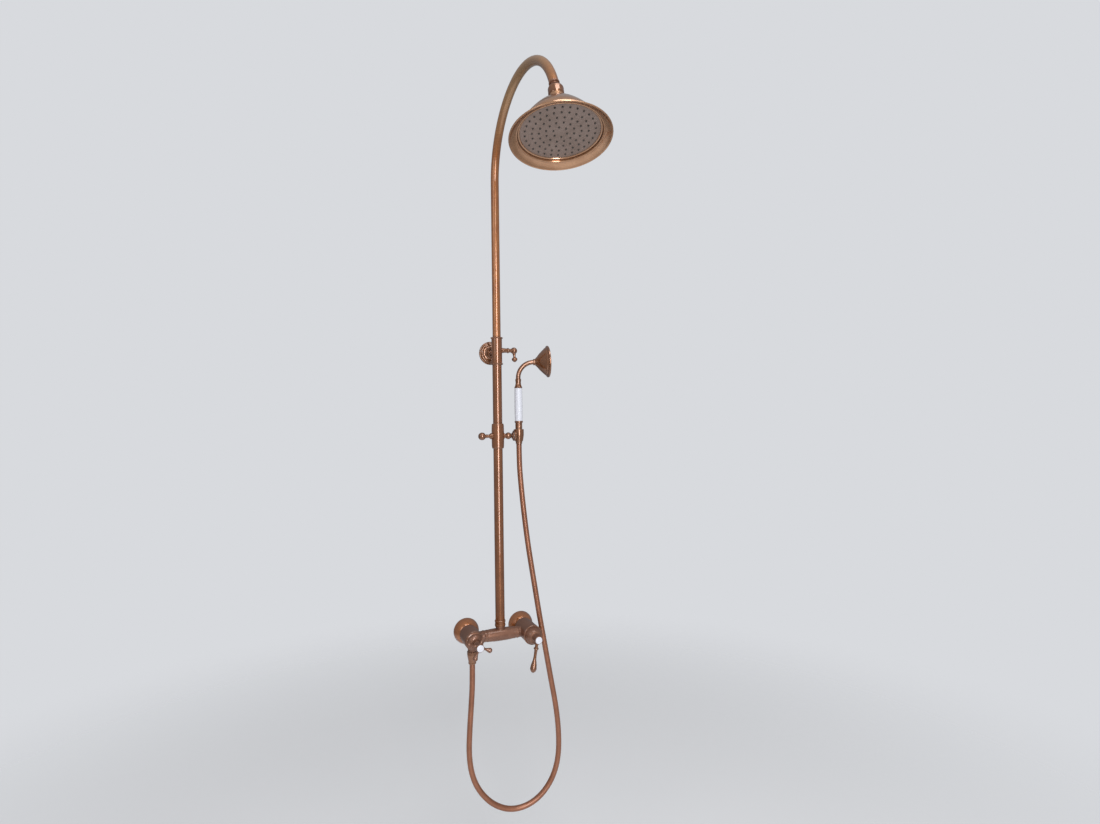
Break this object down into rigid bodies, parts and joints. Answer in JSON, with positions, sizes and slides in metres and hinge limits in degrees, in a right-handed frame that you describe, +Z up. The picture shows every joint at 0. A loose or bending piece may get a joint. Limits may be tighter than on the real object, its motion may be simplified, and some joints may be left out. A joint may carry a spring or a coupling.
{
  "type": "shower column",
  "caption": "Wall-mounted shower column: lever mixer, cross-handle diverter, telescopic riser with gooseneck and bell rose, and a porcelain-grip handset on a slider.",
  "frame": {"origin": "midway between the two wall inlets, on the finished wall face", "axes": "+Z up along the riser, -Y out of the wall into the room, +X to the viewer's right"},
  "size_m": [0.2668, 0.5856, 1.8339],
  "materials": {
    "brushed_copper": "antique brushed",
    "bare_brass": "machined",
    "copper_hose": "metal-wound, satin",
    "white_porcelain": "glazed",
    "black_rubber": "matt",
    "grey_silicone": "matt",
    "white_nylon": "moulded",
    "steel": "plain"
  },
  "bodies": {
    "root": {"escutcheons": "brushed_copper", "inlet_unions": "bare_brass", "inlet_seals": "black_rubber", "union_nuts": "brushed_copper", "valve_body": "brushed_copper", "diverter_cartridge": "white_nylon", "diverter_bonnet": "brushed_copper", "mixing_cartridge": "white_nylon", "cartridge_nut": "bare_brass", "dome_cap": "brushed_copper", "riser_nut": "brushed_copper", "lower_riser": "brushed_copper", "bracket_sleeve": "brushed_copper", "bracket_arm": "brushed_copper", "bracket_rosette": "brushed_copper", "bracket_plate": "bare_brass", "outlet_nipple": "brushed_copper", "lower_hose_washer": "black_rubber", "hose_lower_nut": "brushed_copper", "hose": "copper_hose"},
    "diverter": {"diverter_spindle": "bare_brass", "cross_handle": "brushed_copper", "handle_screw": "steel", "handle_button_ring": "brushed_copper", "handle_button": "white_porcelain"},
    "temperature": {"mixing_spindle": "bare_brass", "spindle_pin": "steel"},
    "lever": {"lever_stem": "bare_brass", "lever_hub": "brushed_copper", "lever_arm": "brushed_copper", "lever_button_ring": "brushed_copper", "lever_button": "white_porcelain"},
    "telescope": {"telescope_bush": "white_nylon"},
    "arm": {"upper_riser": "brushed_copper", "ball_stud": "brushed_copper"},
    "head_yoke": {"head_friction_ring": "white_nylon"},
    "head_seat": {"ball_seat": "white_nylon"},
    "head": {"head_nut": "brushed_copper", "rose_bell": "brushed_copper", "rose_face": "brushed_copper", "rose_nozzles": "grey_silicone", "rose_ring": "brushed_copper"},
    "lock": {"lock_lever": "brushed_copper"},
    "slider": {"slider_liner": "white_nylon"},
    "slider_body": {"slider_sleeve": "brushed_copper", "cradle_link": "brushed_copper", "cradle_washer": "white_nylon", "cradle_screw": "steel"},
    "knob": {"slider_knob": "brushed_copper"},
    "cradle": {"cradle": "brushed_copper"},
    "hose_end": {"hose_upper_nut": "brushed_copper", "upper_hose_washer": "black_rubber"},
    "handset": {"handset_connector": "brushed_copper", "handset_tube": "brushed_copper", "handset_grip": "white_porcelain", "handset_ferrule": "brushed_copper", "handset_neck": "brushed_copper", "handset_bell": "brushed_copper", "handset_face": "brushed_copper", "handset_nozzles": "grey_silicone"}
  },
  "joints": [
    {"name": "diverter_turn", "type": "hinge", "parent": "root", "child": "diverter", "pos_m": [-0.075, -0.135, 0], "axis": [0, -1, 0], "range_deg": [-67.5, 22.5]},
    {"name": "temperature_turn", "type": "hinge", "parent": "root", "child": "temperature", "pos_m": [0.075, -0.1045, 0], "axis": [0, -1, 0], "range_deg": [-42, 58]},
    {"name": "flow_tilt", "type": "hinge", "parent": "temperature", "child": "lever", "pos_m": [0.075, -0.1045, 0], "axis": [-0.9863, 0, 0.165], "range_deg": [0, 15]},
    {"name": "riser_slide", "type": "slide", "parent": "root", "child": "telescope", "axis": [0, 0, 1], "range_m": [-0.34, 0.06]},
    {"name": "arm_swivel", "type": "hinge", "parent": "telescope", "child": "arm", "pos_m": [0, -0.062, 1], "axis": [0, 0, 1], "range_deg": [-75, 75]},
    {"name": "head_tilt_front", "type": "hinge", "parent": "arm", "child": "head_yoke", "pos_m": [0.01986, -0.44095, 1.23331], "axis": [0.9986, -0.0523, 0], "range_deg": [-12, 12]},
    {"name": "head_tilt_side", "type": "hinge", "parent": "head_yoke", "child": "head_seat", "pos_m": [0.01986, -0.44095, 1.23331], "axis": [-0.0509, -0.9706, 0.2351], "range_deg": [-12, 12]},
    {"name": "head_spin", "type": "hinge", "parent": "head_seat", "child": "head", "pos_m": [0.01986, -0.44095, 1.23331], "axis": [-0.0123, -0.2348, -0.972], "continuous": true},
    {"name": "lock_turn", "type": "hinge", "parent": "root", "child": "lock", "pos_m": [0.015, -0.062, 0.7348], "axis": [1, 0, 0], "range_deg": [-90, 90]},
    {"name": "slider_slide", "type": "slide", "parent": "root", "child": "slider", "axis": [0, 0, 1], "range_m": [-0.4, 0.006], "deforming": ["hose"]},
    {"name": "slider_swivel", "type": "hinge", "parent": "slider", "child": "slider_body", "pos_m": [0, -0.062, 0.512], "axis": [0, 0, 1], "range_deg": [-90, 5], "deforming": ["hose"]},
    {"name": "slider_knob_turn", "type": "hinge", "parent": "slider_body", "child": "knob", "pos_m": [-0.03, -0.062, 0.512], "axis": [-1, 0, 0], "range_deg": [-180, 180]},
    {"name": "cradle_tilt", "type": "hinge", "parent": "slider_body", "child": "cradle", "pos_m": [0.0425, -0.062, 0.512], "axis": [1, 0, 0], "range_deg": [-4, 30], "deforming": ["hose"]},
    {"name": "handset_lift", "type": "slide", "parent": "cradle", "child": "hose_end", "axis": [0, 0, 1], "range_m": [0, 0.012], "deforming": ["hose"]},
    {"name": "handset_turn", "type": "hinge", "parent": "hose_end", "child": "handset", "pos_m": [0.0576, -0.062, 0.6], "axis": [0, 0, 1], "range_deg": [-110, 15]}
  ]
}
